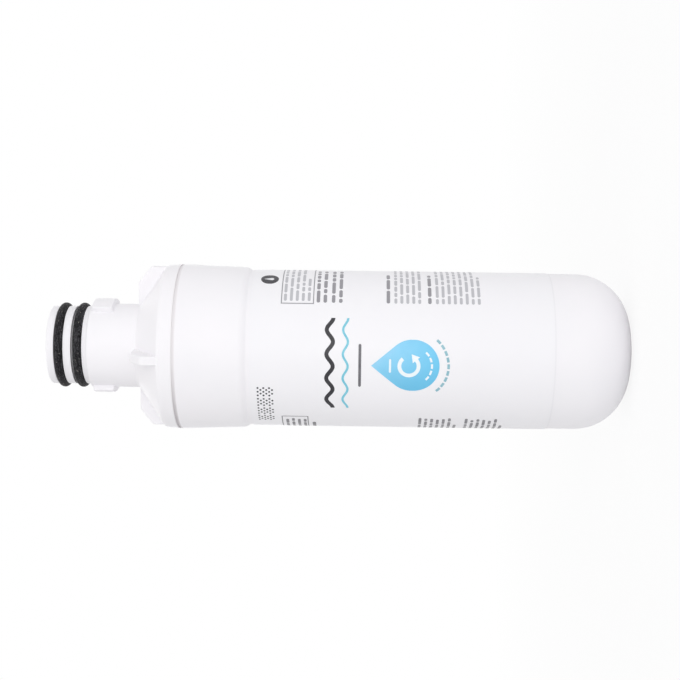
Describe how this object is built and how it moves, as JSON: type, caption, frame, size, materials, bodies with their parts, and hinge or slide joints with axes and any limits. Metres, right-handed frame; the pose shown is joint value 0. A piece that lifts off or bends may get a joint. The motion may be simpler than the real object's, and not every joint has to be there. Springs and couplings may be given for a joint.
{
  "type": "fridge water filter cartridge",
  "caption": "White cylindrical water filter cartridge for a fridge, with a domed end, a finned cone shoulder and a ringed bayonet neck that locks into the filter head.",
  "frame": {"origin": "middle of the small flat on the domed end, on the cartridge's axis", "axes": "+Z along the axis towards the neck, -Y through the middle of the label, +X and -X through the bayonet lugs"},
  "size_m": [0.0597, 0.0596, 0.208],
  "materials": {
    "white_plastic": "satin white",
    "ring_rubber": "lubricated black",
    "label_film": "printed white film",
    "pressed_carbon": "grainy black",
    "fleece": "non-woven white",
    "cap_plastic": "natural white"
  },
  "bodies": {
    "root": {"sump": "white_plastic", "head_cap": "white_plastic", "neck_o_ring_front": "ring_rubber", "neck_o_ring_rear": "ring_rubber", "label_film": "label_film", "carbon_block": "pressed_carbon", "fleece_wrap": "fleece", "element_top_cap": "cap_plastic", "nipple_o_ring": "ring_rubber", "element_bottom_cap": "cap_plastic"}
  },
  "joints": []
}
